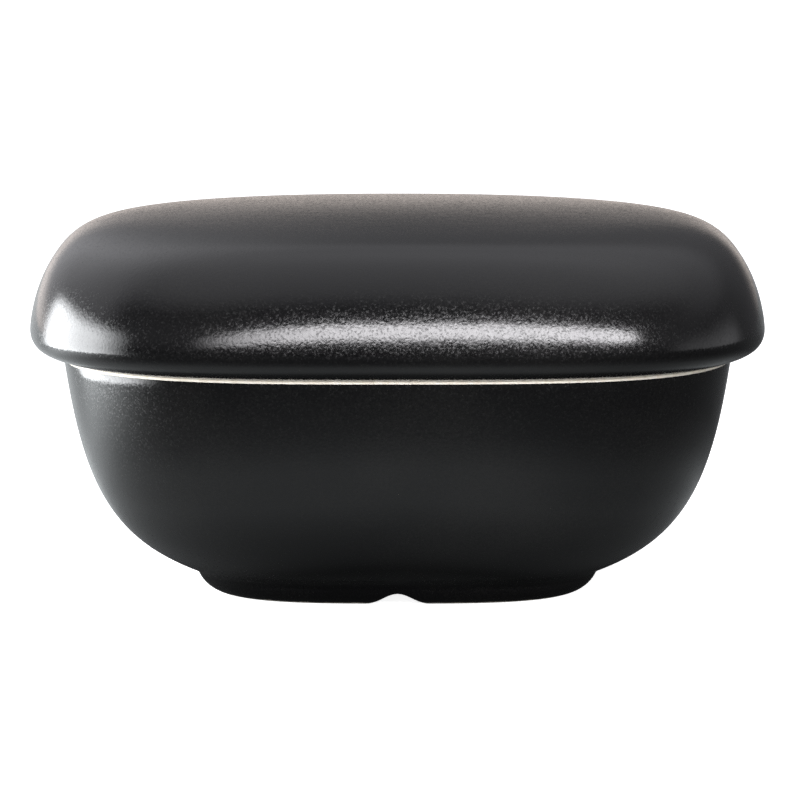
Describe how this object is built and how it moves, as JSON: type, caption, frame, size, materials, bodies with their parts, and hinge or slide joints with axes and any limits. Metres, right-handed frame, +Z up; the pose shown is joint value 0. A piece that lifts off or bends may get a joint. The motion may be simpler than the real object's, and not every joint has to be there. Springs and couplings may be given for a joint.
{
  "type": "sugar bowl",
  "caption": "Soft-square lidded stoneware bowl on a low notched foot ring, with a thick knobless lid that overhangs the bowl and lifts straight off.",
  "frame": {"origin": "middle of the flat that the foot stands on", "axes": "+Z up through the lid; -Y is the front, with one of the foot's two drain notches; +X to the right"},
  "size_m": [0.13, 0.13, 0.0664],
  "materials": {
    "bowl_glaze": "matte black glaze, bare clay on the foot's flat and the rim",
    "lid_glaze": "matte black glaze, bare clay on the seat"
  },
  "bodies": {
    "bowl": {"bowl": "bowl_glaze"},
    "lid": {"lid": "lid_glaze"}
  },
  "joints": [
    {"name": "lid_lift", "type": "slide", "parent": "bowl", "child": "lid", "axis": [0, 0, 1], "range_m": [0, 0.08]}
  ]
}
